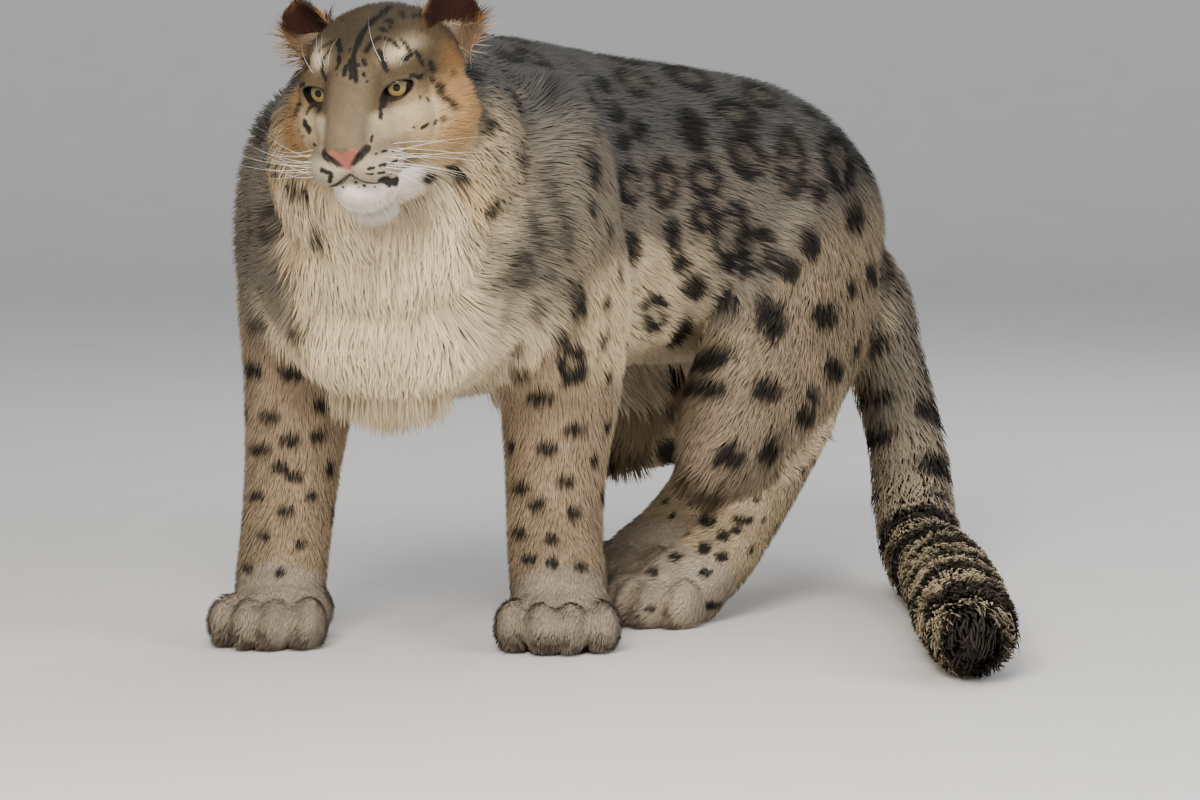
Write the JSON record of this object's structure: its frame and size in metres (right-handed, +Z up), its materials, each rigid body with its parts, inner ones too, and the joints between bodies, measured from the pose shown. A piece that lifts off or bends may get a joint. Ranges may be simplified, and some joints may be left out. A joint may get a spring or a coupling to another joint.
{
  "type": "snow leopard model",
  "caption": "Life-size still model of a snow leopard standing on all fours with its head turned, thick furred paws and a long heavy tail laid along the floor.",
  "frame": {"origin": "middle of the model's outline on the floor it stands on, at the level of the paw soles", "axes": "+Z up; the animal faces -Y, along its longest extent; +X is the animal's left, where the tail lies"},
  "size_m": [0.7977, 1.085, 0.6187],
  "materials": {
    "coat_grey": "long smoky grey fur with dark rosettes",
    "coat_cream": "long cream fur",
    "coat_tan": "short pale tan fur with small black spots",
    "coat_dark": "black-brown fur",
    "eye": "wet clear cornea over an amber grey iris"
  },
  "bodies": {
    "root": {"head": "coat_tan", "ear_left": "coat_dark", "ear_right": "coat_dark", "eye_left": "eye", "eye_right": "eye", "neck": "coat_cream", "chest": "coat_grey", "torso": "coat_grey", "rump": "coat_grey", "upper_arm_left": "coat_grey", "upper_arm_right": "coat_grey", "foreleg_left": "coat_cream", "foreleg_right": "coat_cream", "front_paw_left": "coat_cream", "front_paw_right": "coat_cream", "thigh_left": "coat_grey", "thigh_right": "coat_grey", "shank_left": "coat_grey", "shank_right": "coat_grey", "hind_foot_left": "coat_tan", "hind_foot_right": "coat_tan", "hind_paw_left": "coat_cream", "hind_paw_right": "coat_cream", "tail_1": "coat_grey", "tail_2": "coat_grey", "tail_3": "coat_grey", "tail_4": "coat_grey", "tail_5": "coat_dark"}
  },
  "joints": []
}
